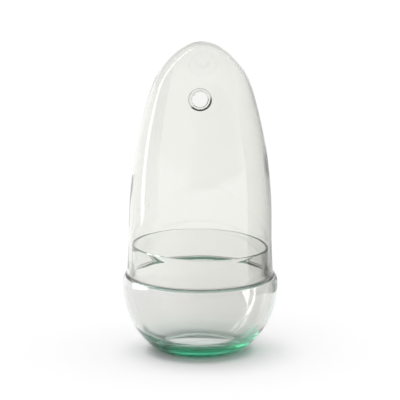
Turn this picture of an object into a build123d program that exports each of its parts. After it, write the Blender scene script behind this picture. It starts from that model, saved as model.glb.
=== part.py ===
from build123d import *
from math import cos, radians, sin, sqrt
import os

# Propagation vase in blown glass. A round bowl with an upright neck holds the cuttings, and a
# tall dome slips over the neck and stands on the ledge round it.
# Millimetres, +Z up, z = 0 at the surface it stands on, vent hole facing -Y.

# Neck of the bowl, and how the dome fits over it
neck_radius = 61.1
neck_height = 26.2
neck_wall = 2.6
neck_root_round = 1.2
neck_clearance = 1.1
seat_margin = 0.3

# Bowl
widest_height = 60.2
shoulder_width = 4.6
shoulder_height = 9.8
foot_radius = 33.5
heel_radius = 15.0
bowl_wall = 3.0

# Base of the bowl
standing_ring_width = 2.5
punt_height = 4.0
base_thickness = 4.0
floor_rise = 2.0
inside_heel_radius = 35.0

# Dome
dome_wall = 2.2
rim_flare = 1.5
rim_round = 0.8
skirt_height = 41.7
side_radius = 436.0
side_angle = 16.5
crown_turn_radius = 74.5
crown_turn_angle = 38.0

# Vent hole in the dome, with its rounded lip
vent_diameter = 13.6
vent_lip = 3.4
vent_lip_thickness = 3.8
lip_blend = 1.5
vent_drop = 43.0

# Radii and heights that follow from these sizes
barrel_radius = neck_radius + neck_clearance + dome_wall
rim_radius = barrel_radius + rim_flare
ledge_radius = rim_radius - rim_round + seat_margin
widest_radius = ledge_radius + shoulder_width
ledge_height = widest_height + shoulder_height
neck_top = ledge_height + neck_height


def oval(centre, width, height, start=0):
    return EllipticalCenterArc(centre, width, height, start_angle=start, arc_size=90)


def nearest(sketch, point):
    return sketch.vertices().sort_by_distance(point)[0]


def bowl_section():
    # Flank: an arc, upright at the widest circle and tangent to the heel.
    reach = widest_radius - foot_radius
    rise = widest_height - heel_radius
    flank_radius = (reach**2 + rise**2 - heel_radius**2) / (2 * (reach - heel_radius))
    flank_centre = Vector(widest_radius - flank_radius, widest_height)
    heel_centre = Vector(foot_radius, heel_radius)
    heel_end = flank_centre + (heel_centre - flank_centre).normalized() * flank_radius

    ring_inside = foot_radius - standing_ring_width

    # Inside: neck, root, shoulder and flank set in by the wall, over a floor that follows the punt.
    inside_radius = widest_radius - bowl_wall
    inside_flank = flank_radius - bowl_wall
    root_centre = (neck_radius + neck_root_round, ledge_height + neck_root_round)
    floor_middle = punt_height + base_thickness
    floor_edge = floor_middle - floor_rise
    corner = flank_centre.X + sqrt(inside_flank**2 - (widest_height - floor_edge) ** 2)

    with BuildSketch() as section:
        with BuildLine():
            punt = TangentArc((0, punt_height), (ring_inside, 0), tangent=(1, 0))
            ring = Line(punt @ 1, (foot_radius, 0))
            heel = TangentArc(ring @ 1, heel_end, tangent=(1, 0))
            TangentArc(heel @ 1, (widest_radius, widest_height), tangent=heel % 1)
            shoulder = oval((ledge_radius, widest_height), shoulder_width, shoulder_height)
            lip_base = (neck_radius - neck_wall / 2, neck_top - neck_wall / 2)
            lip = CenterArc(lip_base, neck_wall / 2, 0, 180)
            Polyline(shoulder @ 1, (neck_radius, ledge_height), lip @ 0)
            inside_root = oval(
                root_centre, neck_root_round + neck_wall, neck_root_round + bowl_wall, start=180
            )
            Line(lip @ 1, inside_root @ 0)
            inside_shoulder = oval(
                (ledge_radius, widest_height), shoulder_width - bowl_wall, shoulder_height - bowl_wall
            )
            Line(inside_root @ 1, inside_shoulder @ 1)
            RadiusArc((corner, floor_edge), (inside_radius, widest_height), -inside_flank)
            TangentArc((0, floor_middle), (corner, floor_edge), tangent=(1, 0))
            Line((0, floor_middle), (0, punt_height))
        make_face()
        fillet(nearest(section, (corner, floor_edge)), inside_heel_radius)
        fillet(nearest(section, (neck_radius, ledge_height)), neck_root_round)
    return section.sketch


def dome_outline(inset):
    # From the rim up: flared skirt, long side arc, tighter turn, and a round crown on the axis.
    side = side_radius - inset
    turn = crown_turn_radius - inset
    lean = radians(side_angle)
    steep = radians(side_angle + crown_turn_angle)
    skirt_top = Vector(barrel_radius - inset, ledge_height + skirt_height)
    side_top = skirt_top + Vector(-side * (1 - cos(lean)), side * sin(lean))
    turn_top = side_top + turn * Vector(cos(steep) - cos(lean), sin(steep) - sin(lean))
    crown = turn_top.X / cos(steep)
    top = Vector(0, turn_top.Y + crown * (1 - sin(steep)))
    rim = Vector(rim_radius - inset, ledge_height)
    with BuildSketch() as outline:
        with BuildLine():
            TangentArc(skirt_top, rim, tangent=(0, -1))
            side_arc = TangentArc(skirt_top, side_top, tangent=(0, 1))
            turn_arc = TangentArc(side_top, turn_top, tangent=side_arc % 1)
            TangentArc(turn_top, top, tangent=turn_arc % 1)
            Polyline(top, (0, ledge_height), rim)
        make_face()
    return outline.sketch, top.Y


def dome_section():
    outside, top = dome_outline(0)
    inside, _ = dome_outline(dome_wall)
    section = outside - inside
    rim = section.vertices().group_by(Axis.Y)[0]
    return fillet(rim, rim_round), top


def spun(section):
    return revolve(Plane.XZ * section, Axis.Z)


bowl = spun(bowl_section())

section, dome_top = dome_section()
dome = spun(section)

# The lip is a glass ring whose middle lies in the wall, square to the wall at the vent.
lip_circle = vent_diameter / 2 + vent_lip / 2
sight_line = Axis((0, 0, dome_top - vent_drop), (0, -1, 0))
front, outward = dome.find_intersection_points(sight_line)[-1]
wall_curve = front.Y + sqrt(front.Y**2 - lip_circle**2)
vent_plane = Plane(front - outward * (dome_wall - wall_curve) / 2, z_dir=outward)
pierced = dome - vent_plane * Cylinder(lip_circle, 4 * vent_lip)
lip_section = Pos(lip_circle, 0) * Ellipse(vent_lip / 2, vent_lip_thickness / 2)
lip = vent_plane * spun(lip_section)
dome = pierced + lip
dome = fillet(new_edges(pierced, lip, combined=dome), lip_blend)

os.makedirs("parts", exist_ok=True)
for name, piece in (("bowl", bowl), ("dome", dome)):
    piece.label = name
    export_step(piece, f"parts/{name}.step")
    box = piece.bounding_box()
    print(name, "valid", piece.is_valid, "solids", len(piece.solids()), "volume", round(piece.volume, 1))
    print("  from", box.min, "to", box.max)
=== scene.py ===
from math import acos, atan2, cos, hypot, pi, radians, sin, sqrt
from random import Random

import bmesh
import bpy
from bpy.props import FloatProperty, FloatVectorProperty, IntProperty, PointerProperty
from mathutils import Matrix, Vector


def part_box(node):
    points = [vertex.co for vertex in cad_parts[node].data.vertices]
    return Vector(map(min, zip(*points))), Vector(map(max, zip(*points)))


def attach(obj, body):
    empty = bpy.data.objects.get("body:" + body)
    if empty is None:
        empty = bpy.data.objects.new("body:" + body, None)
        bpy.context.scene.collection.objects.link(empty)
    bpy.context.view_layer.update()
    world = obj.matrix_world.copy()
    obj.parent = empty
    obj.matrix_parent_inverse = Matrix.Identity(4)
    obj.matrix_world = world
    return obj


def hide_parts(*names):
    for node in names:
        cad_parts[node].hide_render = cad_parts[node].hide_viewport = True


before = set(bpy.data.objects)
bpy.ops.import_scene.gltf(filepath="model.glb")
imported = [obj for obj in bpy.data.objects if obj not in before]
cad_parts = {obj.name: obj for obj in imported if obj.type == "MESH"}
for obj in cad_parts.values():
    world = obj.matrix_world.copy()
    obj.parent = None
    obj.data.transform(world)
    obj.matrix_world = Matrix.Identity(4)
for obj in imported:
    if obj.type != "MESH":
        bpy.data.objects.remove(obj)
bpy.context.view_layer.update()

bl_info = {
    "name": "Propagation vase",
    "version": (1, 0, 0),
    "blender": (4, 5, 0),
    "location": "View3D > Sidebar > Vase",
    "description": "Hand-blown glass bowl with a neck, and the vented dome that stands over it",
    "category": "Object",
}

bowl_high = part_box("bowl")[1]
dome_low, dome_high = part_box("dome")

# How near two points are that count as one, and how near a point is to a circle that it lies on.
SAME_POINT = 1e-6
NEAR_EDGE = 5e-5
NEAR_CUT = 3e-5

# Steps along the section of the vent's lip: from the wall to the ring, and round the ring.
LIP_BLEND_STEPS = 6
LIP_RING_STEPS = 12

# Starting numbers of the random draws that place the bubbles.
BOWL_DRAW = 5
DOME_DRAW = 11

RIGHT, FRONT, BACK, UP = (1, 0, 0), (0, -1, 0), (0, 1, 0), (0, 0, 1)
WHITE = (1.0, 1.0, 1.0, 1.0)


def property_kind(prop, **fixed):
    """A kind of property that is given its name, what it is about and its default."""
    return lambda name, about, default: prop(name=name, description=about, default=default, **fixed)


# Plain numbers, sizes in metres, the camera's in millimetres, whole numbers, and steps of a spin.
number = property_kind(FloatProperty, min=0.0)
length = property_kind(FloatProperty, unit="LENGTH", precision=5)
lens_size = property_kind(FloatProperty, unit="CAMERA")
count = property_kind(IntProperty, min=0)
spin_steps = property_kind(IntProperty, min=24)
# Angles in radians, linear colours, places in metres, and directions seen from the vase.
angle = property_kind(FloatProperty, subtype="ANGLE")
tint = property_kind(FloatVectorProperty, size=3, subtype="COLOR", min=0.0, max=1.0)
spot = property_kind(FloatVectorProperty, size=3, unit="LENGTH")
way = property_kind(FloatVectorProperty, size=3, subtype="DIRECTION")
# Two distances, or two shares of a length or a level, between which something fades.
run = property_kind(FloatVectorProperty, size=2, unit="LENGTH", precision=5)
shares = property_kind(FloatVectorProperty, size=2)


class BowlSizes(bpy.types.PropertyGroup):
    """Sizes of the bowl and its neck"""

    widest: length("Widest radius", "Radius of the bowl at its widest circle", bowl_high.x)
    widest_height: length("Widest height", "Height of the widest circle", 0.0602)
    height: length("Height", "Top of the neck", bowl_high.z)
    ledge: length("Ledge height", "Height of the ledge that carries the dome", dome_low.z)
    shoulder: length("Shoulder width", "Width of the rounded shoulder outside the ledge", 0.0046)
    neck: length("Neck radius", "Outside radius of the neck", 0.0611)
    neck_wall: length("Neck wall", "Thickness of the neck", 0.0026)
    wall: length("Wall", "Thickness of the bowl's flank", 0.003)
    foot: length("Foot radius", "Outer radius of the standing ring", 0.0335)
    heel: length("Heel radius", "Roundness between the standing ring and the flank", 0.015)
    ring: length("Standing ring", "Width of the ring that the bowl stands on", 0.0025)
    punt: length("Punt", "Depth of the hollow under the base", 0.004)
    base: length("Base thickness", "Glass between the punt and the floor of the bowl", 0.004)
    floor_rise: length("Floor rise", "How far the floor's middle stands above its edge", 0.002)
    inside_heel: length("Inside heel", "Roundness between the floor and the flank inside", 0.035)
    root_round: length("Root round", "Rounding where the neck meets the ledge", 0.0012)
    ring_round: length("Ring round", "Rounding on the inner edge of the standing ring", 0.0012)
    lip_tilt: angle("Lip tilt", "How far the hand-sheared lip is off level", radians(1.5))
    steps: spin_steps("Steps", "Steps of the spin", 192)


class DomeSizes(bpy.types.PropertyGroup):
    """Sizes of the dome and its vent"""

    barrel: length("Barrel radius", "Outside radius where the skirt ends", 0.0644)
    rim: length("Rim radius", "Outside radius at the rim", 0.0659)
    skirt: length("Skirt height", "Height of the flared skirt", 0.0417)
    wall: length("Wall", "Thickness of the dome", 0.0022)
    rim_round: length("Rim round", "Rounding on the rim's edges", 0.0008)
    seat_gap: length("Seat gap", "Film of air between the rim and the ledge", 0.00012)
    side: length("Side radius", "Radius of the long side arc", 0.436)
    side_angle: angle("Side angle", "Turn of the side arc", radians(16.5))
    turn: length("Crown turn radius", "Radius of the tighter arc under the crown", 0.0745)
    turn_angle: angle("Crown turn", "Turn of the tighter arc", radians(38.0))
    vent: length("Vent diameter", "Clear width of the vent hole", 0.0136)
    vent_drop: length("Vent drop", "Distance of the vent below the top of the dome", 0.043)
    lip: length("Lip width", "Width of the glass ring round the vent", 0.0030)
    lip_thickness: length("Lip thickness", "Thickness of the glass ring round the vent", 0.0056)
    lip_blend: length("Lip blend", "Width of the run-out from the ring into the wall", 0.0004)
    lip_leave: angle("Lip leave", "Where on the ring's section the run-out leaves it", radians(30.0))
    lip_close: angle("Lip close", "Where on the ring's section its two halves meet", radians(174.0))
    punch: length("Punch length", "Length of the punch that cuts the wall for the vent", 0.03)
    lean: angle("Lean", "How far the dome leans to the right", radians(0.65))
    lean_start: length("Lean start", "Height over the rim at which the lean starts", 0.012)
    steps: spin_steps("Steps", "Steps of the spin", 192)


class BowlTints(bpy.types.PropertyGroup):
    """Colour of the bowl's glass"""

    neck: tint("Neck", "Tint of the thin glass of the neck", (0.98, 0.97, 0.965))
    flank: tint("Flank", "Tint of the thicker flank", (0.91, 0.89, 0.88))
    floor: tint("Floor", "Tint of the floor of the bowl", (1.0, 1.0, 1.0))
    floor_fade: length("Floor fade", "Width of the run from the floor's tint to the flank's", 0.012)
    # Thick: painted shade that darkens the bowl's walls towards the right, where the room is dim.
    thick: tint("Thick side", "What the thicker right side lets through", (0.92, 0.92, 0.915))
    right_shade_run: shares("Thick run", "From thin to thick, in shares of the widest radius", (-0.8, 0.4))
    # Seat tints: painted shade in a dark ring where the dome's rim sits on the ledge, not a scuff.
    seat_shade: tint("Seat", "Tint of the scuffed ledge under the dome", (0.30, 0.25, 0.26))
    seat_edge: length("Seat edge", "Width of the run from the neck to the scuffed ledge", 0.0004)
    seat_under: run("Seat under", "Fade of the scuff under the ledge", (-0.0013, -0.0005))
    seat_over: run("Seat over", "Fade of the scuff over the ledge", (0.0008, 0.0003))
    # The heel's emerald is the glass's own colour. Its darkening at the left is painted shade, and its
    # brightening at the right is painted light.
    heel_left_shade: tint("Heel left", "Tint of the thick heel at the left", (0.012, 0.09, 0.05))
    heel_front: tint("Heel front", "Tint of the thick heel at the front", (0.009, 0.44, 0.16))
    heel_right_light: tint("Heel right", "Tint of the thick heel at the right", (0.065, 0.75, 0.36))
    heel_back: tint("Heel back", "Tint of the thinner heel at the back", (0.88, 0.92, 0.89))
    left_run: shares("Left run", "From the left tint to the front one, in shares of the foot", (-0.95, -0.4))
    right_run: shares("Right run", "From the front tint to the right one, in shares of the foot", (0.3, 1.2))
    back_run: shares("Back run", "From the back tint to the front one, in shares of the foot", (0.6, 0.2))
    heel_top: run("Heel top", "Heights between which the emerald fades out", (0.0155, 0.0105))
    heel_climb: number("Heel climb", "How fast the emerald rises to the sides", 1.0)
    heel_start: number("Heel start", "Share of the foot's radius at which the emerald begins", 0.9)
    heel_slope: number("Heel slope", "Rise of the line that parts the heel's skin from the floor", 0.9)
    heel_edge: length("Heel edge", "Half the width of the fade at that line", 0.0008)
    swirl: number("Swirl", "Swirls per metre at the emerald's upper edge", 45.0)
    swirl_height: length("Swirl height", "How far the emerald's upper edge wanders", 0.0012)
    milk: number("Milk", "Milkiness of the ground hollow under the base", 0.2)
    milk_top: run("Milk top", "Heights over the punt between which it fades", (0.0008, 0.0002))
    milk_side: number("Milk side", "Share of the hollow's radius at which it fades", 0.9)
    absorption: tint("Absorption", "Colour that the glass lets through", (0.12, 0.68, 0.48))
    density: number("Density", "Absorption per metre", 12.0)


class DomeTints(bpy.types.PropertyGroup):
    """Colour of the dome's glass"""

    # Thin and thick: the glass's pale grey-green, and the same colour darkened towards the right-back as
    # painted shade.
    thin: tint("Thin", "Tint where the wall is thin", (0.98, 0.975, 0.96))
    thick: tint("Thick", "Tint where the wall is thick", (0.90, 0.895, 0.88))
    shade_side: way("Thick side", "Where the wall is thick", (0.4, 0.92, 0.0))
    cloud: number("Cloud", "How much clearer the glass is in the clouds", 0.15)
    cloud_count: number("Cloud count", "Clouds per metre", 14.0)
    cloud_run: shares("Cloud run", "Levels of noise between which a cloud begins", (0.35, 0.65))
    # Painted shade: a grey ring round the vent's lip, nearly black at its lower right.
    vent_shade: tint("Fold", "Tint of the fold round the vent", (0.70, 0.70, 0.69))
    vent_shade_deep: tint("Fold deep", "Tint of the fold where it is deepest", (0.004, 0.005, 0.004))
    vent_shade_side: way("Fold side", "Where round the vent the fold is deepest", (0.41, 0.0, -0.91))
    vent_shade_turn: shares("Fold turn", "How near that side the fold deepens and is deepest", (0.05, 0.45))
    vent_shade_inside: run("Fold inside", "Inner fade of the fold, from the lip's outer edge", (-0.0015, -0.0011))
    vent_shade_outside: run("Fold outside", "Outer fade of the fold, from the lip's outer edge", (0.0003, 0.0))
    vent_shade_front: run("Fold front", "How far in front of the axis the fold fades in", (0.0, 0.01))
    absorption: tint("Absorption", "Colour that the glass lets through", (0.68, 0.735, 0.60))
    density: number("Density", "Absorption per metre", 30.0)


class Handwork(bpy.types.PropertyGroup):
    """Traces of blowing, shared by both pieces"""

    wave: length("Wave height", "Depth of the unevenness of the walls", 0.00025)
    wave_size: length("Wave size", "Width of the unevenness of the walls", 0.045)
    calm_ring: run("Calm ring", "Heights over the standing ring where waves begin", (0.001, 0.014))
    calm_under: run("Calm under ledge", "Heights from the ledge down where waves begin", (-0.001, -0.010))
    calm_over: run("Calm over ledge", "Heights from the ledge up where waves begin", (0.002, 0.010))
    calm_rim: run("Calm rim", "Heights over the dome's rim where waves begin", (0.001, 0.012))
    calm_vent: run("Calm vent", "Distances from the vent's lip where waves begin", (0.002, 0.014))
    seeds: count("Seeds", "Small air bubbles in each piece", 12)
    seed_radius: length("Seed radius", "Radius of the largest bubble", 0.00045)
    cord_count: number("Cord count", "Cords per metre", 55.0)
    cord_stretch: number("Cord stretch", "Upright scale of the cords", 0.35)
    cord_strength: number("Cord strength", "How clearly the cords show", 0.12)
    cord_depth: length("Cord depth", "Depth of the cords", 0.0008)
    smear_count: number("Smear count", "Smears per metre", 60.0)
    smear_run: shares("Smear run", "Levels of noise between which a smear begins", (0.45, 0.8))
    smear_rough: number("Smear roughness", "Roughness of the polish in a smear", 0.03)


class StageSetting(bpy.types.PropertyGroup):
    """Floor, light and camera"""

    floor: tint("Floor", "Colour of the floor", (0.86, 0.86, 0.86))
    floor_radius: length("Floor radius", "Radius of the floor", 200.0)
    floor_glow: number("Floor glow", "Light that comes up through the floor", 0.45)
    # Painted shadow: the floor's glow is dimmed round the vase and close to its foot.
    shade_glow: number("Shade glow", "What is left of it in the vase's shade", 0.26)
    shade_place: spot("Shade place", "Middle of the vase's shade", (0.008, -0.018, 0.0))
    shade_run: run("Shade run", "Where the shade begins to fade and where it ends", (0.03, 0.095))
    contact_share: number("Contact share", "Share of the floor's glow left close to the foot", 0.25)
    contact_place: spot("Contact place", "Middle of the shade at the foot", (0.0, -0.009, 0.0))
    contact_run: run("Contact run", "Where that shade begins to fade and where it ends", (0.040, 0.054))
    # Painted pool of light: the floor glows more under the base, seen only through the glass.
    base_glow: number("Base glow", "Light that comes up through the base", 0.75)
    base_reach: length("Base reach", "Radius of the light under the base", 0.034)
    base_soft: number("Base softness", "Share of that radius at which the light begins to fade", 0.8)
    room_bright: number("Room bright", "Brightness of the soft light all round", 0.71)
    horizon_bright: number("Horizon", "Light of the room where it meets the floor", 1.04)
    horizon_run: shares("Horizon run", "Rise of view between which that light fades", (0.02, 0.12))
    dark_front: way("Dark front", "Where the room is dim before the vase", (0.45, -0.88, 0.1))
    front_level: number("Front level", "Brightness of the room there", 0.4)
    front_run: shares("Front run", "How near that place the room dims and is dimmest", (0.5, 0.88))
    card_tint: tint("Card", "Colour of the card that edges the right side", (0.75, 0.75, 0.75))
    card_edge_tint: tint("Card edge", "Colour of the card at its top and far end", (0.95, 0.95, 0.95))
    card_near_tint: tint("Card near tint", "Colour of the card at its near end", (0.22, 0.22, 0.22))
    card_near: spot("Card near", "Near end of the card", (0.45, -0.10, 0.0))
    card_far: spot("Card far", "Far end of the card", (0.10, 0.22, 0.0))
    card_height: length("Card height", "Height of the card", 0.4)
    card_near_run: run("Card near run", "Places between which the card darkens to its near end", (0.12, 0.22))
    card_far_fade: length("Card far fade", "Width of the fade at the card's far end", 0.05)
    card_top_fade: number("Card top fade", "Share of the card's height where its top begins to fade", 0.35)
    strip_foot: spot("Strip foot", "Lower end of the strip light", (-0.36, 0.055, 0.065))
    strip_lean: angle("Strip lean", "How far the strip leans back", radians(23.0))
    strip_width: length("Strip width", "Width of the strip light", 0.06)
    strip_length: length("Strip length", "Length of the strip light", 1.85)
    strip_power: number("Strip power", "Power of the strip light", 1.0)
    window_foot: spot("Window foot", "Lower end of the window", (-0.36, 0.015, 0.08))
    window_lean: angle("Window lean", "How far the window leans back", radians(27.0))
    window_width: length("Window width", "Width of the window", 0.2)
    window_length: length("Window length", "Length of the window", 0.6)
    window_power: number("Window power", "Power of the window that the bowl mirrors", 3.4)
    camera_distance: length("Camera distance", "Level distance of the camera", 3.5)
    camera_height: length("Camera height", "Height of the camera", 0.9369)
    camera_pitch: angle("Camera pitch", "Downward tilt", radians(12.878))
    camera_reach: length("Camera reach", "Farthest thing that the camera sees", 500.0)
    sensor: lens_size("Sensor", "Width of the picture in the camera", 36.0)
    lens: lens_size("Lens", "Focal length", 360.56)


def shares_of(whole, pair):
    """Two shares of a length, as lengths."""
    return [share * whole for share in pair]


def beyond(start, pair):
    """Two distances from a start, as places."""
    return [start + distance for distance in pair]


def arc(centre, radius, start, end, steps, height=None):
    """Points on a round or oval arc in the section plane, from one angle to another in radians."""
    height = radius if height is None else height
    turns = [start + (end - start) * i / steps for i in range(steps + 1)]
    return [Vector((centre[0] + radius * cos(t), 0.0, centre[1] + height * sin(t))) for t in turns]


def straight(start, end, steps):
    """Points on a line in the section plane."""
    a, b = Vector((start[0], 0.0, start[1])), Vector((end[0], 0.0, end[1]))
    return [a.lerp(b, i / steps) for i in range(steps + 1)]


def joined(*runs):
    """One run of points, each point kept once."""
    points = []
    for stretch in runs:
        for point in stretch:
            if not points or (point - points[-1]).length > SAME_POINT:
                points.append(point)
    return points


def flank_arc(size):
    """Centre and radius of the bowl's flank: upright at the widest circle and tangent to the heel."""
    reach, rise = size.widest - size.foot, size.widest_height - size.heel
    radius = (reach**2 + rise**2 - size.heel**2) / (2 * (reach - size.heel))
    return (size.widest - radius, size.widest_height), radius


def bowl_outline(size):
    """Section of the bowl, from the middle of the punt round to the middle of the floor."""
    z = size.widest_height
    ledge_radius = size.widest - size.shoulder
    ring_inside = size.foot - size.ring
    punt_radius = (ring_inside**2 + size.punt**2) / (2 * size.punt)
    punt_turn = atan2(ring_inside, punt_radius - size.punt)
    flank, flank_radius = flank_arc(size)
    heel_turn = atan2(size.heel - z, size.foot - flank[0])

    inside_flank = flank_radius - size.wall
    neck_inside = size.neck - size.neck_wall
    underside = size.ledge - size.wall
    root = (size.neck + size.root_round, size.ledge + size.root_round)
    root_width, root_height = size.root_round + size.neck_wall, size.root_round + size.wall
    lip = size.neck_wall / 2
    floor_middle = size.punt + size.base
    floor_edge = floor_middle - size.floor_rise
    corner = flank[0] + sqrt(inside_flank**2 - (z - floor_edge) ** 2)
    floor_radius = (corner**2 + size.floor_rise**2) / (2 * size.floor_rise)
    floor = (0.0, floor_middle - floor_radius)

    # The inside heel touches the floor's arc and the flank's arc.
    to_flank, to_floor = inside_flank - size.inside_heel, floor_radius + size.inside_heel
    apart = hypot(flank[0] - floor[0], flank[1] - floor[1])
    tilt = atan2(flank[1] - floor[1], flank[0] - floor[0])
    bend = acos((to_floor**2 + apart**2 - to_flank**2) / (2 * to_floor * apart))
    heel = (floor[0] + to_floor * cos(tilt - bend), floor[1] + to_floor * sin(tilt - bend))
    heel_to_flank = atan2(heel[1] - flank[1], heel[0] - flank[0])
    heel_to_floor = tilt - bend - pi

    return joined(
        arc((0.0, size.punt - punt_radius), punt_radius, pi / 2, pi / 2 - punt_turn, steps=10),
        straight((ring_inside, 0.0), (size.foot, 0.0), steps=2),
        arc((size.foot, size.heel), size.heel, -pi / 2, heel_turn, steps=12),
        arc(flank, flank_radius, heel_turn, 0.0, steps=22),
        arc((ledge_radius, z), size.shoulder, 0.0, pi / 2, steps=16, height=size.ledge - z),
        straight((ledge_radius, size.ledge), (size.neck, size.ledge), steps=2),
        straight((size.neck, size.ledge), (size.neck, size.height - lip), steps=8),
        arc((size.neck - lip, size.height - lip), lip, 0.0, pi, steps=12),
        straight((neck_inside, size.height - lip), (neck_inside, root[1]), steps=8),
        arc(root, root_width, pi, 1.5 * pi, steps=10, height=root_height),
        straight((root[0], underside), (ledge_radius, underside), steps=2),
        arc((ledge_radius, z), size.shoulder - size.wall, pi / 2, 0.0, steps=12, height=underside - z),
        arc(flank, inside_flank, 0.0, heel_to_flank, steps=22),
        arc(heel, size.inside_heel, heel_to_flank, heel_to_floor, steps=12),
        arc(floor, floor_radius, tilt - bend, pi / 2, steps=12),
    )


def rim_height(size):
    """Height of the dome's rim, a film of air over the ledge."""
    return dome_low.z + size.seat_gap


def dome_side(size, inset, base):
    """One face of the dome's wall, from the rim up to the middle of the crown."""
    side, turn = size.side - inset, size.turn - inset
    lean, steep = size.side_angle, size.side_angle + size.turn_angle
    x, z = size.barrel - inset, dome_low.z + size.skirt
    flare, drop = size.rim - size.barrel, size.skirt
    skirt = (flare**2 + drop**2) / (2 * flare)
    rim_turn = atan2(base - z, skirt - flare)
    side_centre = (x - side, z)
    side_top = (side_centre[0] + side * cos(lean), z + side * sin(lean))
    turn_centre = (side_top[0] - turn * cos(lean), side_top[1] - turn * sin(lean))
    turn_top = (turn_centre[0] + turn * cos(steep), turn_centre[1] + turn * sin(steep))
    crown = turn_top[0] / cos(steep)
    return joined(
        arc((x + skirt, z), skirt, pi - rim_turn, pi, steps=14),
        arc(side_centre, side, 0.0, lean, steps=26),
        arc(turn_centre, turn, lean, steep, steps=16),
        arc((0.0, turn_top[1] - crown * sin(steep)), crown, steep, pi / 2, steps=12),
    )


def dome_outline(size):
    """Section of the dome, from the top of the crown down to the rim and up the inside."""
    base = rim_height(size)
    outside, inside = dome_side(size, 0.0, base), dome_side(size, size.wall, base)
    outside[0].z = inside[0].z = base
    return joined(outside[::-1], inside)


def outline_radius(outline, height, choose):
    """The widest or narrowest radius of an outline at a height."""
    return choose(p.x for p in outline if abs(p.z - height) < SAME_POINT)


def alone():
    """Object mode with nothing selected."""
    if bpy.context.object and bpy.context.object.mode != "OBJECT":
        bpy.ops.object.mode_set(mode="OBJECT")
    bpy.ops.object.select_all(action="DESELECT")


def only(piece):
    """Object mode with one piece selected and active."""
    alone()
    piece.select_set(True)
    bpy.context.view_layer.objects.active = piece


def close_shell():
    """Merges the doubles of the mesh in edit mode and points its faces outwards."""
    bpy.ops.mesh.select_all(action="SELECT")
    bpy.ops.mesh.remove_doubles(threshold=2 * SAME_POINT)
    bpy.ops.mesh.normals_make_consistent(inside=False)


def lathe(name, points, steps):
    """Draws an outline point by point and spins it round Z into a closed shell, left in edit mode."""
    alone()
    bpy.ops.mesh.primitive_plane_add(size=0.01)
    piece = bpy.context.object
    piece.name = piece.data.name = name
    bpy.ops.object.mode_set(mode="EDIT")
    bpy.ops.mesh.select_mode(type="VERT")
    bpy.ops.mesh.select_all(action="SELECT")
    bpy.ops.mesh.merge(type="CENTER")
    bpy.ops.transform.translate(value=points[0])
    for last, point in zip(points, points[1:]):
        bpy.ops.mesh.extrude_vertices_move(TRANSFORM_OT_translate={"value": point - last})
    bpy.ops.mesh.select_all(action="SELECT")
    bpy.ops.mesh.spin(steps=steps, angle=2 * pi, center=(0, 0, 0), axis=UP)
    close_shell()
    return piece


def pick(piece, kind, test):
    """Selects the vertices, edges or faces of the piece in edit mode that pass a test."""
    bpy.ops.mesh.select_mode(type={"verts": "VERT", "edges": "EDGE", "faces": "FACE"}[kind])
    bpy.ops.mesh.select_all(action="DESELECT")
    mesh = bmesh.from_edit_mesh(piece.data)
    for element in getattr(mesh, kind):
        element.select_set(test(element))
    mesh.select_flush_mode()
    bmesh.update_edit_mesh(piece.data)


def round_edge(piece, radius, height, width):
    """Rounds the edge that runs along a circle round Z."""

    def on_circle(co):
        return abs(hypot(co.x, co.y) - radius) < NEAR_EDGE and abs(co.z - height) < NEAR_EDGE

    pick(piece, "edges", lambda edge: all(on_circle(v.co) for v in edge.verts))
    bpy.ops.mesh.bevel(offset=width, offset_type="OFFSET", segments=6, profile=0.5, affect="EDGES")


def tip(piece, height, turn):
    """Leans the part of a piece above a height to the right, about a level line that runs to the back."""
    pick(piece, "verts", lambda v: v.co.z > height)
    bpy.ops.transform.rotate(value=-turn, orient_axis="Y", center_override=(0.0, 0.0, height))


def ramp(low, high):
    """A smooth step from 0 at low to 1 at high."""

    def value(x):
        t = min(1.0, max(0.0, (x - low) / (high - low)))
        return t * t * (3 - 2 * t)

    return value


def make_wavy(piece, handwork, share):
    """Presses the walls in by a soft uneven amount, as far as the share at each place lets it."""
    group = piece.vertex_groups.new(name="wavy")
    for vertex in piece.data.vertices:
        group.add([vertex.index], share(vertex.co), "REPLACE")
    texture = bpy.data.textures.new(piece.name + "_waves", "CLOUDS")
    texture.noise_scale = handwork.wave_size
    texture.noise_depth = 1
    waves = piece.modifiers.new("Waves", "DISPLACE")
    waves.texture = texture
    waves.texture_coords = "LOCAL"
    waves.direction = "NORMAL"
    waves.vertex_group = group.name
    waves.strength = handwork.wave
    waves.mid_level = 1.0
    bpy.ops.object.modifier_apply(modifier=waves.name)
    piece.vertex_groups.clear()


def draw_seeds(draw, handwork, centre, radius, wall, turns, depths, sizes, stretches):
    """Places, radii and stretches of bubbles inside a wall that follows an arc spun round Z."""
    seeds = []
    for _ in range(handwork.seeds):
        around, turn = draw.uniform(0, 2 * pi), draw.uniform(*turns)
        middle = radius - wall * draw.uniform(*depths)
        out, height = centre[0] + middle * cos(turn), centre[1] + middle * sin(turn)
        place = Vector((out * cos(around), out * sin(around), height))
        seeds.append((place, handwork.seed_radius * draw.uniform(*sizes), draw.uniform(*stretches)))
    return seeds


def add_seeds(piece, seeds):
    """Sets small air bubbles in the wall: closed round cavities that open nowhere."""
    made = []
    for place, radius, stretch in seeds:
        alone()
        bpy.ops.mesh.primitive_ico_sphere_add(subdivisions=2, radius=radius)
        made.append(bpy.context.object)
        bpy.ops.object.mode_set(mode="EDIT")
        bpy.ops.mesh.select_all(action="SELECT")
        bpy.ops.transform.resize(value=(1.0, 1.0, stretch))
        bpy.ops.transform.translate(value=place)
        bpy.ops.mesh.flip_normals()
        bpy.ops.object.mode_set(mode="OBJECT")
    only(piece)
    for seed in made:
        seed.select_set(True)
    if made:
        bpy.ops.object.join()


def lip_circle(size):
    """Radius of the circle that runs through the middle of the vent's lip."""
    return size.vent / 2 + size.lip / 2


def cut_radius(size):
    """Radius of the cut in the wall, where the vent's lip has run out."""
    return size.vent / 2 + size.lip + size.lip_blend


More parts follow.
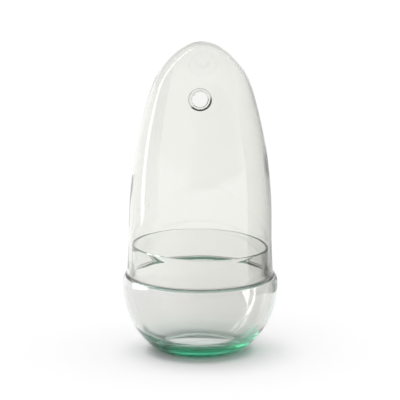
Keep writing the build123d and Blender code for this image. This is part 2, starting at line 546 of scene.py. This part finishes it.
def vent_place(size, outline):
    """Middle of the vent in the wall at the front, and the direction square to the wall there."""
    height = dome_high.z - size.vent_drop
    outside = outline[: len(outline) // 2]
    above = min((p for p in outside if p.z > height), key=lambda p: p.z)
    below = max((p for p in outside if p.z <= height), key=lambda p: p.z)
    front = below.lerp(above, (height - below.z) / (above.z - below.z))
    climb = (above - below).normalized()
    outward = Vector((0.0, -climb.z, -climb.x))
    curve = front.x - sqrt(front.x**2 - lip_circle(size) ** 2)
    return Vector((0.0, -front.x, front.z)) - outward * (size.wall + curve) / 2, outward


def turn_about(piece, point, turn):
    """Turns the piece about a level line through a point and applies the turn."""
    only(piece)
    turned = Matrix.Rotation(turn, 3, "X")
    piece.rotation_euler = turned.to_euler()
    piece.location = point - turned @ point
    bpy.ops.object.transform_apply(location=True, rotation=True, scale=False)


def on_cut(vent, radius, co):
    """Whether a point lies on the circle cut round the vent, whose axis is along Y."""
    away = co - vent
    return away.length < 2 * radius and abs(hypot(away.x, away.z) - radius) < NEAR_CUT


def lip_section(size, wall_height):
    """Half of the lip's section as radius and height over the wall's middle, from the wall to the vent."""
    ring, across, up = lip_circle(size), size.lip / 2, size.lip_thickness / 2
    leave, close = size.lip_leave, size.lip_close
    start = Vector((cut_radius(size), wall_height))
    end = Vector((ring + across * cos(leave), up * sin(leave)))
    pull = (start - end).length
    run_in = Vector((-1.0, 0.0)) * pull
    run_out = Vector((-across * sin(leave), up * cos(leave))).normalized() * pull
    points = []
    for i in range(1, LIP_BLEND_STEPS):
        t = i / LIP_BLEND_STEPS
        points.append(
            start * (2 * t**3 - 3 * t**2 + 1)
            + run_in * (t**3 - 2 * t**2 + t)
            + end * (3 * t**2 - 2 * t**3)
            + run_out * (t**3 - t**2)
        )
    for i in range(LIP_RING_STEPS + 1):
        turn = leave + (close - leave) * i / LIP_RING_STEPS
        points.append(Vector((ring + across * cos(turn), up * sin(turn))))
    return points


def draw_lip(dome, size, vent, side):
    """Draws the cut edge on one side of the wall along the lip's section."""
    cut, ring = cut_radius(size), lip_circle(size)

    def on_wall(co):
        over_middle = vent.y - co.y - (co.x**2 - ring**2 / 2) / (2 * vent.y)
        return on_cut(vent, cut, co) and over_middle * side > 0

    pick(dome, "edges", lambda e: e.is_boundary and all(on_wall(v.co) for v in e.verts))
    loop = [v.co for v in bmesh.from_edit_mesh(dome.data).verts if v.select]
    wall_height = sum(side * (vent.y - co.y) for co in loop) / len(loop)

    # The edge follows the round wall at first and is pressed flat by the end of the blend.
    last, bow = Vector((cut, wall_height)), 1.0
    for i, point in enumerate(lip_section(size, wall_height)):
        flat = max(0.0, 1.0 - (i + 1) / LIP_BLEND_STEPS)
        rise = side * (last.y - point.y)
        bpy.ops.mesh.extrude_edges_move(TRANSFORM_OT_translate={"value": (0, rise, 0)})
        shrink, press = point.x / last.x, flat / bow if bow else 1.0
        middle = (vent.x, vent.y - side * last.y + rise, vent.z)
        bpy.ops.transform.resize(value=(shrink, press, shrink), center_override=middle)
        last, bow = point, flat


def open_vent(dome, size, vent, outward):
    """Cuts the wall in a circle, draws both cut edges into a rounded lip and joins them."""
    tilt = atan2(outward.z, -outward.y)
    cut = cut_radius(size)
    turn_about(dome, vent, tilt)

    alone()
    bpy.ops.mesh.primitive_cylinder_add(
        vertices=96, radius=cut, depth=size.punch, location=vent, rotation=(pi / 2, 0.0, 0.0)
    )
    punch = bpy.context.object
    only(dome)
    hole = dome.modifiers.new("Vent", "BOOLEAN")
    hole.operation = "DIFFERENCE"
    hole.solver = "EXACT"
    hole.object = punch
    bpy.ops.object.modifier_apply(modifier=hole.name)
    bpy.data.objects.remove(punch)

    bpy.ops.object.mode_set(mode="EDIT")
    pick(dome, "faces", lambda f: all(on_cut(vent, cut, v.co) for v in f.verts))
    bpy.ops.mesh.delete(type="FACE")
    for side in (1, -1):
        draw_lip(dome, size, vent, side)
    pick(dome, "edges", lambda e: e.is_boundary)
    bpy.ops.mesh.bridge_edge_loops()
    close_shell()
    bpy.ops.object.mode_set(mode="OBJECT")
    turn_about(dome, vent, -tilt)


def lean_dome(dome, size, vent):
    """Leans the dome to the right above its rim, after a turn that keeps the vent in the middle."""
    start = rim_height(size) + size.lean_start
    swing = sin(size.lean) * (vent.z - start) / -vent.y
    bpy.ops.object.mode_set(mode="EDIT")
    bpy.ops.mesh.select_all(action="SELECT")
    bpy.ops.transform.rotate(value=swing, orient_axis="Z", center_override=(0.0, 0.0, 0.0))
    tip(dome, start, size.lean)
    bpy.ops.object.mode_set(mode="OBJECT")


def finish_piece(piece, body, material):
    """Smooth shading, material, and the body that the piece moves with."""
    only(piece)
    bpy.ops.object.shade_smooth()
    piece.data.materials.clear()
    piece.data.materials.append(material)
    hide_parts(body)
    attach(piece, body)


class Nodes:
    """The node tree of a material or of the world, laid out from left to right as nodes are added."""

    def __init__(self, owner):
        owner.use_nodes = True
        self.owner = owner
        self.tree = owner.node_tree
        self.tree.nodes.clear()

    def feed(self, socket, value):
        """Links a node's output to a socket, or sets a plain value on it."""
        if isinstance(value, bpy.types.NodeSocket):
            self.tree.links.new(value, socket)
        else:
            socket.default_value = value

    def add(self, kind, **inputs):
        """A node with its inputs by name, with _ for each blank."""
        node = self.tree.nodes.new(kind)
        node.location = (220 * len(self.tree.nodes), 0)
        for name, value in inputs.items():
            self.feed(node.inputs[name.replace("_", " ")], value)
        return node

    def work(self, kind, operation, *values):
        """A Math or Vector Math node with its inputs in order."""
        node = self.add(kind)
        node.operation = operation
        for socket, value in zip(node.inputs, values):
            self.feed(socket, value)
        return node


def combine(nodes, operation, *values):
    """A Math node's result on outputs and numbers."""
    return nodes.work("ShaderNodeMath", operation, *values).outputs[0]


def along(nodes, place, direction):
    """How far a place lies along a direction."""
    unit = Vector(direction).normalized()
    return nodes.work("ShaderNodeVectorMath", "DOT_PRODUCT", place, unit).outputs["Value"]


def off_axis(nodes, place):
    """Distance of a place from the Z axis."""
    flat = nodes.work("ShaderNodeVectorMath", "MULTIPLY", place, (1.0, 1.0, 0.0)).outputs["Vector"]
    return nodes.work("ShaderNodeVectorMath", "LENGTH", flat).outputs["Value"]


def moved(nodes, place, middle):
    """A place as seen from a middle."""
    return nodes.add("ShaderNodeMapping", Vector=place, Location=-Vector(middle)).outputs["Vector"]


def step_between(nodes, value, low, high, start=0.0, end=1.0):
    """A smooth step from one level at low to another at high, where low may be the larger value."""
    step = nodes.add(
        "ShaderNodeMapRange", Value=value, From_Min=low, From_Max=high, To_Min=start, To_Max=end
    )
    step.interpolation_type = "SMOOTHSTEP"
    return step.outputs["Result"]


def blend_tints(nodes, mask, below, above, kind="MIX"):
    """A colour that runs from one to another with a mask. Either is a colour or a node's output."""
    mix = nodes.add("ShaderNodeMix")
    mix.data_type = "RGBA"
    mix.blend_type = kind
    nodes.feed(mix.inputs[0], mask)
    for socket, colour in ((mix.inputs[6], below), (mix.inputs[7], above)):
        nodes.feed(socket, colour if isinstance(colour, bpy.types.NodeSocket) else (*colour, 1.0))
    return mix.outputs[2]


def wander(nodes, place, value, scale, reach):
    """A value with a soft random offset, so that the edge of a tint isn't a ruled line."""
    swirl = nodes.add("ShaderNodeTexNoise", Vector=place, Scale=scale, Detail=2.0)
    offset = nodes.add("ShaderNodeMapRange", Value=swirl.outputs["Fac"], To_Min=-reach, To_Max=reach)
    return combine(nodes, "ADD", value, offset.outputs["Result"])


def heel_mask(nodes, place, size, tints):
    """Where the emerald lies: on the heel's outer skin, below an edge that climbs to the sides."""
    x, height, radius = along(nodes, place, RIGHT), along(nodes, place, UP), off_axis(nodes, place)

    # The outer skin lies below a line that rises from the foot, and the floor of the bowl above it.
    line = combine(nodes, "MULTIPLY_ADD", radius, -tints.heel_slope, tints.heel_slope * size.foot)
    over_line = combine(nodes, "ADD", height, line)
    skin = step_between(nodes, over_line, tints.heel_edge, -tints.heel_edge)
    past_foot = step_between(nodes, radius, tints.heel_start * size.foot, size.foot)
    outside = combine(nodes, "MULTIPLY", skin, past_foot)

    loose = wander(nodes, place, height, tints.swirl, tints.swirl_height)
    squared = combine(nodes, "MULTIPLY", x, x)
    climbing = combine(nodes, "MULTIPLY_ADD", squared, -tints.heel_climb, loose)
    return combine(nodes, "MULTIPLY", outside, step_between(nodes, climbing, *tints.heel_top))


def heel_tint(nodes, place, size, tints):
    """The emerald: dark at the left as painted shade, brighter at the right as painted light, and nearly
    clear at the back.
    """
    x, y = along(nodes, place, RIGHT), along(nodes, place, BACK)
    # Painted shade at the left, painted light at the right.
    front = step_between(nodes, x, *shares_of(size.foot, tints.left_run))
    colour = blend_tints(nodes, front, tints.heel_left_shade, tints.heel_front)
    right = step_between(nodes, x, *shares_of(size.foot, tints.right_run))
    colour = blend_tints(nodes, right, colour, tints.heel_right_light)
    forward = step_between(nodes, y, *shares_of(size.foot, tints.back_run))
    return blend_tints(nodes, forward, tints.heel_back, colour)


def seat_shade_mask(nodes, place, size, tints):
    """Where the dome's rim sits on the ledge: a dark ring of painted shade."""
    height = along(nodes, place, UP)
    on_ledge = step_between(nodes, off_axis(nodes, place), size.neck, size.neck + tints.seat_edge)
    under = step_between(nodes, height, *beyond(size.ledge, tints.seat_under))
    over = step_between(nodes, height, *beyond(size.ledge, tints.seat_over))
    return combine(nodes, "MULTIPLY", on_ledge, combine(nodes, "MULTIPLY", under, over))


def bowl_tint(nodes, place, size, tints):
    """Emerald heel, clear floor, grey-green flank and a nearly clear neck, with painted shade on the right,
    at the ledge and at the heel's left, and painted light at the heel's right.
    """
    neck = step_between(nodes, along(nodes, place, UP), size.widest_height, size.ledge)
    walls = blend_tints(nodes, neck, tints.flank, tints.neck)
    # Painted shade: the walls darken towards the right.
    thick = step_between(nodes, along(nodes, place, RIGHT), *shares_of(size.widest, tints.right_shade_run))
    walls = blend_tints(nodes, thick, walls, tints.thick, "MULTIPLY")
    flank = step_between(nodes, off_axis(nodes, place), size.foot, size.foot + tints.floor_fade)
    body = blend_tints(nodes, flank, tints.floor, walls)
    emerald = heel_mask(nodes, place, size, tints)
    body = blend_tints(nodes, emerald, body, heel_tint(nodes, place, size, tints))
    # Painted shade: a dark ring where the dome's rim sits on the ledge.
    return blend_tints(nodes, seat_shade_mask(nodes, place, size, tints), body, tints.seat_shade)


def bowl_clearness(nodes, place, size, tints):
    """Transmission of the bowl: full, except in the ground hollow under the base."""
    ring_inside = size.foot - size.ring
    hollow = step_between(nodes, along(nodes, place, UP), *beyond(size.punt, tints.milk_top))
    inside = step_between(nodes, off_axis(nodes, place), ring_inside, tints.milk_side * ring_inside)
    ground = combine(nodes, "MULTIPLY", hollow, inside)
    clear = nodes.add("ShaderNodeMapRange", Value=ground, To_Min=1.0, To_Max=1.0 - tints.milk)
    return clear.outputs["Result"]


def dome_tint(nodes, place, size, tints):
    """Pale grey-green with faint clearer clouds, darkened towards the right-back as painted shade."""
    # Painted shade: darker towards the right-back.
    thick = step_between(nodes, along(nodes, place, tints.shade_side), -size.rim, size.rim)
    wall = blend_tints(nodes, thick, tints.thin, tints.thick)
    noise = nodes.add("ShaderNodeTexNoise", Vector=place, Scale=tints.cloud_count, Detail=2.0)
    cloud = step_between(nodes, noise.outputs["Fac"], *tints.cloud_run)
    clearer = nodes.add("ShaderNodeMapRange", Value=cloud, To_Max=tints.cloud)
    return blend_tints(nodes, clearer.outputs["Result"], wall, WHITE[:3])


def shade_round_vent(nodes, place, size, tints, vent, outward, wall):
    """The wall's tint with a ring of painted shade round the vent's lip, darkest at its lower right."""
    # Painted shade round the vent's lip, darkest at its lower right.
    from_vent = moved(nodes, place, vent)
    upward = outward.cross(Vector(RIGHT))
    flat = nodes.add(
        "ShaderNodeCombineXYZ", X=along(nodes, from_vent, RIGHT), Y=along(nodes, from_vent, upward)
    ).outputs["Vector"]
    radius = off_axis(nodes, flat)
    inside = step_between(nodes, radius, *beyond(cut_radius(size), tints.vent_shade_inside))
    outside = step_between(nodes, radius, *beyond(cut_radius(size), tints.vent_shade_outside))
    front = step_between(nodes, along(nodes, place, FRONT), *tints.vent_shade_front)
    band = combine(nodes, "MULTIPLY", combine(nodes, "MULTIPLY", inside, outside), front)

    deep_side = Vector((tints.vent_shade_side[0], tints.vent_shade_side[2], 0.0))
    nearness = combine(nodes, "DIVIDE", along(nodes, flat, deep_side), radius)
    deep = step_between(nodes, nearness, *tints.vent_shade_turn)
    return blend_tints(nodes, band, wall, blend_tints(nodes, deep, tints.vent_shade, tints.vent_shade_deep))


def blow_glass(nodes, place, handwork, colour, clearness, tints):
    """Glass with a tint, faint cords and a polish that isn't perfect."""
    stretched = nodes.add("ShaderNodeMapping", Vector=place, Scale=(1.0, 1.0, handwork.cord_stretch))
    cords = nodes.add(
        "ShaderNodeTexNoise", Vector=stretched.outputs["Vector"], Scale=handwork.cord_count, Detail=1.0
    )
    bump = nodes.add(
        "ShaderNodeBump",
        Strength=handwork.cord_strength,
        Distance=handwork.cord_depth,
        Height=cords.outputs["Fac"],
    )
    smears = nodes.add("ShaderNodeTexNoise", Vector=place, Scale=handwork.smear_count, Detail=4.0)
    rough = nodes.add(
        "ShaderNodeMapRange",
        Value=smears.outputs["Fac"],
        From_Min=handwork.smear_run[0],
        From_Max=handwork.smear_run[1],
        To_Max=handwork.smear_rough,
    )
    shader = nodes.add(
        "ShaderNodeBsdfPrincipled",
        Base_Color=colour,
        Roughness=rough.outputs["Result"],
        Normal=bump.outputs["Normal"],
        IOR=1.5,
        Transmission_Weight=clearness,
    )
    absorb = nodes.add("ShaderNodeVolumeAbsorption", Color=(*tints.absorption, 1.0), Density=tints.density)
    nodes.add("ShaderNodeOutputMaterial", Surface=shader.outputs["BSDF"], Volume=absorb.outputs["Volume"])


def bowl_material(size, tints, handwork):
    """Blown glass of the bowl."""
    nodes = Nodes(bpy.data.materials.new("bowl_blown_glass"))
    place = nodes.add("ShaderNodeTexCoord").outputs["Object"]
    colour = bowl_tint(nodes, place, size, tints)
    blow_glass(nodes, place, handwork, colour, bowl_clearness(nodes, place, size, tints), tints)
    return nodes.owner


def dome_material(size, tints, handwork, vent, outward):
    """Blown glass of the dome."""
    nodes = Nodes(bpy.data.materials.new("dome_blown_glass"))
    place = nodes.add("ShaderNodeTexCoord").outputs["Object"]
    wall = dome_tint(nodes, place, size, tints)
    colour = shade_round_vent(nodes, place, size, tints, vent, outward, wall)
    blow_glass(nodes, place, handwork, colour, 1.0, tints)
    return nodes.owner


class VASE_OT_bowl(bpy.types.Operator):
    """Spin the bowl with its neck and ledge, round its edges and give it blown glass"""

    bl_idname = "vase.bowl"
    bl_label = "Bowl"

    def execute(self, context):
        scene = context.scene
        size, tints, handwork = scene.vase_bowl, scene.vase_bowl_tints, scene.vase_handwork
        bowl = lathe("bowl_glass", bowl_outline(size), size.steps)
        round_edge(bowl, size.neck, size.ledge, size.root_round)
        round_edge(bowl, size.foot - size.ring, 0.0, size.ring_round)
        tip(bowl, size.height - size.neck_wall, size.lip_tilt)
        bpy.ops.object.mode_set(mode="OBJECT")

        above_ring = ramp(*handwork.calm_ring)
        below_ledge = ramp(*beyond(size.ledge, handwork.calm_under))
        above_ledge = ramp(*beyond(size.ledge, handwork.calm_over))
        make_wavy(
            bowl, handwork, lambda co: above_ring(co.z) * below_ledge(co.z) + above_ledge(co.z)
        )

        flank, flank_radius = flank_arc(size)
        seeds = draw_seeds(
            Random(BOWL_DRAW),
            handwork,
            flank,
            flank_radius,
            size.wall,
            turns=(radians(-2.0), radians(-38.0)),
            depths=(0.4, 0.6),
            sizes=(0.35, 1.0),
            stretches=(1.0, 1.5),
        )
        add_seeds(bowl, seeds)
        finish_piece(bowl, "bowl", bowl_material(size, tints, handwork))
        return {"FINISHED"}


class VASE_OT_dome(bpy.types.Operator):
    """Spin the dome, open its vent, draw the vent's lip and give it blown glass"""

    bl_idname = "vase.dome"
    bl_label = "Dome"

    def execute(self, context):
        scene = context.scene
        size, tints, handwork = scene.vase_dome, scene.vase_dome_tints, scene.vase_handwork
        outline = dome_outline(size)
        dome = lathe("dome_glass", outline, size.steps)
        base = rim_height(size)
        for choose in (max, min):
            round_edge(dome, outline_radius(outline, base, choose), base, size.rim_round)
        bpy.ops.object.mode_set(mode="OBJECT")

        vent, outward = vent_place(size, outline)
        above_rim = ramp(*beyond(base, handwork.calm_rim))
        off_vent = ramp(*beyond(cut_radius(size), handwork.calm_vent))
        make_wavy(dome, handwork, lambda co: above_rim(co.z) * off_vent((co - vent).length))
        open_vent(dome, size, vent, outward)

        seeds = draw_seeds(
            Random(DOME_DRAW),
            handwork,
            (size.barrel - size.side, dome_low.z + size.skirt),
            size.side,
            size.wall,
            turns=shares_of(size.side_angle, (0.02, 0.9)),
            depths=(0.42, 0.58),
            sizes=(0.3, 0.9),
            stretches=(1.0, 1.8),
        )
        add_seeds(dome, seeds)
        lean_dome(dome, size, vent)
        finish_piece(dome, "dome", dome_material(size, tints, handwork, vent, outward))
        return {"FINISHED"}


def matt_shader(nodes, place, colour):
    """A matt, finely grained surface."""
    grain = nodes.add("ShaderNodeTexNoise", Vector=place, Scale=400.0, Detail=2.0)
    bump = nodes.add("ShaderNodeBump", Strength=0.05, Distance=0.0002, Height=grain.outputs["Fac"])
    shader = nodes.add(
        "ShaderNodeBsdfPrincipled",
        Base_Color=colour,
        Roughness=0.8,
        Specular_IOR_Level=0.0,
        Normal=bump.outputs["Normal"],
        Emission_Color=WHITE,
    )
    nodes.add("ShaderNodeOutputMaterial", Surface=shader.outputs["BSDF"])
    return shader


def floor_material(setting):
    """Pale floor with light coming up through it, a painted shadow round the vase's foot and a painted pool
    of light under its base.
    """
    nodes = Nodes(bpy.data.materials.new("pale_floor"))
    place = nodes.add("ShaderNodeTexCoord").outputs["Object"]
    shader = matt_shader(nodes, place, (*setting.floor, 1.0))
    from_shade = off_axis(nodes, moved(nodes, place, setting.shade_place))
    from_foot = off_axis(nodes, moved(nodes, place, setting.contact_place))
    # Painted shadow round the vase and at its foot.
    glow = step_between(nodes, from_shade, *setting.shade_run, setting.shade_glow, setting.floor_glow)
    contact = step_between(nodes, from_foot, *setting.contact_run, setting.contact_share, 1.0)
    # Painted pool of light under the base.
    base_run = (setting.base_soft * setting.base_reach, setting.base_reach)
    under = step_between(nodes, off_axis(nodes, place), *base_run, setting.base_glow, 0.0)
    shaded = combine(nodes, "MULTIPLY", glow, contact)
    nodes.feed(shader.inputs["Emission Strength"], combine(nodes, "MAXIMUM", shaded, under))
    return nodes.owner


def lay_floor(setting):
    """A round floor that runs out to the horizon."""
    alone()
    bpy.ops.mesh.primitive_circle_add(vertices=96, radius=setting.floor_radius, fill_type="NGON")
    floor = bpy.context.object
    floor.name = floor.data.name = "floor"
    floor.data.materials.append(floor_material(setting))
    return floor


def card_material(setting):
    """Grey card, darker towards its near end and paler at its top and far end."""
    nodes = Nodes(bpy.data.materials.new("grey_card"))
    place = nodes.add("ShaderNodeTexCoord").outputs["Object"]
    across, height = along(nodes, place, RIGHT), along(nodes, place, UP)
    near = step_between(nodes, across, *setting.card_near_run)
    grey = blend_tints(nodes, near, setting.card_tint, setting.card_near_tint)
    top_start = setting.card_top_fade * setting.card_height
    top = step_between(nodes, height, top_start, setting.card_height)
    far_end = setting.card_far[0]
    far = step_between(nodes, across, far_end + setting.card_far_fade, far_end)
    faded = combine(nodes, "MAXIMUM", top, far)
    matt_shader(nodes, place, blend_tints(nodes, faded, grey, setting.card_edge_tint))
    return nodes.owner


def stand_card(setting):
    """A card that stands on the floor at the right and is seen in the glass alone."""
    near, far, height = Vector(setting.card_near), Vector(setting.card_far), setting.card_height
    alone()
    bpy.ops.mesh.primitive_plane_add(size=1.0)
    card = bpy.context.object
    card.name = card.data.name = "card"
    card.scale = ((far - near).length, height, 1.0)
    card.rotation_euler = (pi / 2, 0.0, atan2(far.y - near.y, far.x - near.x))
    card.location = (near + far) / 2 + Vector((0.0, 0.0, height / 2))
    bpy.ops.object.transform_apply(location=True, rotation=True, scale=True)
    card.visible_camera = card.visible_diffuse = card.visible_shadow = False
    card.data.materials.append(card_material(setting))
    return card


def light_room(setting):
    """Soft light from all round, as bright as the floor where they meet and dimmer in front."""
    nodes = Nodes(bpy.data.worlds.new("studio"))
    view = nodes.add("ShaderNodeTexCoord").outputs["Generated"]
    horizon = setting.horizon_bright
    rise, nearness = along(nodes, view, UP), along(nodes, view, setting.dark_front)
    room = step_between(nodes, rise, *setting.horizon_run, horizon, setting.room_bright)
    front = step_between(nodes, nearness, *setting.front_run, horizon, setting.front_level)
    level = combine(nodes, "MINIMUM", room, front)
    light = nodes.add("ShaderNodeBackground", Color=WHITE, Strength=level)
    nodes.add("ShaderNodeOutputWorld", Surface=light.outputs["Background"])
    return nodes.owner


def leaning_light(name, setting):
    """A long light that faces the vase from the left, leans to the back and is hidden from the camera."""
    foot, lean, width, long, power = (
        getattr(setting, f"{name}_{part}") for part in ("foot", "lean", "width", "length", "power")
    )
    middle = Vector(foot) + Vector((0.0, sin(lean), cos(lean))) * long / 2
    alone()
    bpy.ops.object.light_add(type="AREA", location=middle)
    lamp = bpy.context.object
    lamp.name = lamp.data.name = name
    lamp.rotation_euler = Vector((-middle.x, 0.0, 0.0)).to_track_quat("-Z", "Y").to_euler()
    lamp.rotation_euler.rotate_axis("Z", lean)
    lamp.data.shape = "RECTANGLE"
    lamp.data.size, lamp.data.size_y = width, long
    lamp.data.energy = power
    lamp.visible_camera = False
    return lamp


def light_vase(setting):
    """A strip that the dome mirrors, and a window that falls on the bowl alone."""
    strip, window = (leaning_light(name, setting) for name in ("strip", "window"))
    strip.visible_transmission = strip.visible_diffuse = False
    mirrored = bpy.data.collections.new("window_falls_on")
    mirrored.objects.link(bpy.data.objects["bowl_glass"])
    window.light_linking.receiver_collection = mirrored


def place_camera(scene, setting):
    """A camera in front of the vase that looks down on it a little."""
    camera = bpy.data.objects.new("camera", bpy.data.cameras.new("camera"))
    scene.collection.objects.link(camera)
    camera.location = (0.0, -setting.camera_distance, setting.camera_height)
    camera.rotation_euler = (pi / 2 - setting.camera_pitch, 0.0, 0.0)
    camera.data.sensor_width = setting.sensor
    camera.data.lens = setting.lens
    camera.data.clip_end = setting.camera_reach
    return camera


class VASE_OT_stage(bpy.types.Operator):
    """Lay the floor, set the lights and place the camera"""

    bl_idname = "vase.stage"
    bl_label = "Stage"

    def execute(self, context):
        scene, setting = context.scene, context.scene.vase_stage
        floor = lay_floor(setting)
        card = stand_card(setting)
        scene.world = light_room(setting)
        light_vase(setting)
        scene.camera = place_camera(scene, setting)

        scene.view_settings.view_transform = "Standard"
        scene.cycles.max_bounces = 40
        scene.cycles.transmission_bounces = 36
        scene.cycles.glossy_bounces = 16
        scene.cycles.diffuse_bounces = 4
        scene.cycles.use_denoising = True
        return {"FINISHED"}


PANEL_ROWS = (
    ("vase_bowl", "Bowl", "vase.bowl"),
    ("vase_bowl_tints", "Bowl tints", None),
    ("vase_dome", "Dome", "vase.dome"),
    ("vase_dome_tints", "Dome tints", None),
    ("vase_handwork", "Handwork", None),
    ("vase_stage", "Stage", "vase.stage"),
)


class VASE_PT_panel(bpy.types.Panel):
    """Sizes, finish and stage of the vase"""

    bl_idname = "VASE_PT_panel"
    bl_label = "Propagation vase"
    bl_space_type = "VIEW_3D"
    bl_region_type = "UI"
    bl_category = "Vase"

    def draw(self, context):
        for group, title, operator in PANEL_ROWS:
            box = self.layout.box()
            box.label(text=title)
            settings = getattr(context.scene, group)
            for name in settings.__annotations__:
                box.prop(settings, name)
            if operator:
                box.operator(operator)


GROUPS = {
    "vase_bowl": BowlSizes,
    "vase_bowl_tints": BowlTints,
    "vase_dome": DomeSizes,
    "vase_dome_tints": DomeTints,
    "vase_handwork": Handwork,
    "vase_stage": StageSetting,
}
CLASSES = (*GROUPS.values(), VASE_OT_bowl, VASE_OT_dome, VASE_OT_stage, VASE_PT_panel)


def register():
    for cls in CLASSES:
        bpy.utils.register_class(cls)
    for name, group in GROUPS.items():
        setattr(bpy.types.Scene, name, PointerProperty(type=group))


def unregister():
    for name in GROUPS:
        delattr(bpy.types.Scene, name)
    for cls in reversed(CLASSES):
        bpy.utils.unregister_class(cls)


def main():
    register()
    bpy.ops.vase.bowl()
    bpy.ops.vase.dome()
    bpy.ops.vase.stage()


if __name__ == "__main__":
    main()
